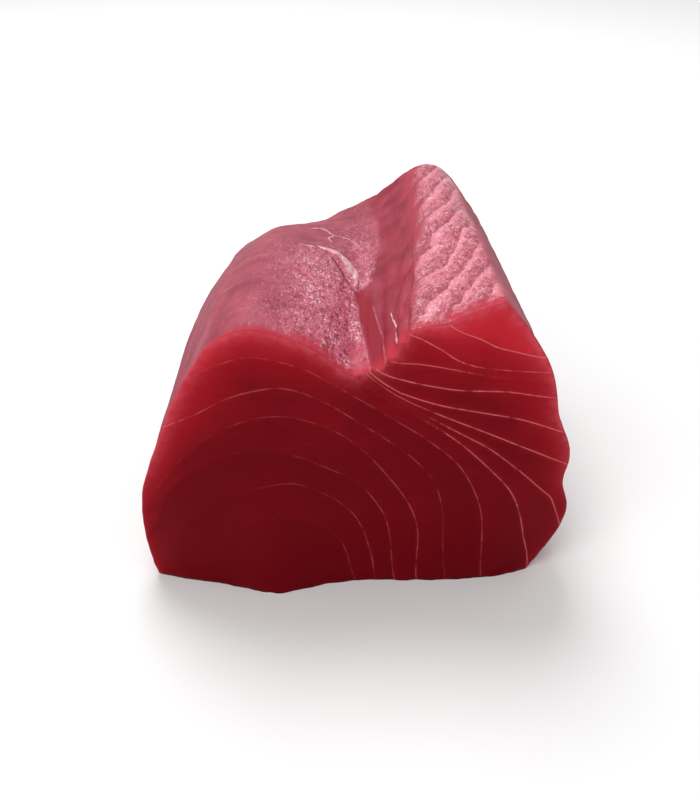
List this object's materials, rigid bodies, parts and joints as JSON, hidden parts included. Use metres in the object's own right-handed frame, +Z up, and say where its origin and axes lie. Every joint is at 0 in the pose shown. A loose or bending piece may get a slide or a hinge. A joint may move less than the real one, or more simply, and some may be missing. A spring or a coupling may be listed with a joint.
{
  "type": "raw tuna loin block",
  "caption": "Thick block of skinless raw tuna loin with a rounded left lobe, a taller right ridge, a stepped groove between them, flat cut ends and a flat underside.",
  "frame": {"origin": "on the underside, below the middle of the bounding box", "axes": "+Z up out of the flat underside, -Y out of the front cut, +Y back along the loin, +X from the low rounded lobe to the tall ridge"},
  "size_m": [0.1334, 0.1444, 0.0984],
  "materials": {
    "flesh": "wet raw flesh"
  },
  "bodies": {
    "root": {"tuna_loin": "flesh"}
  },
  "joints": []
}
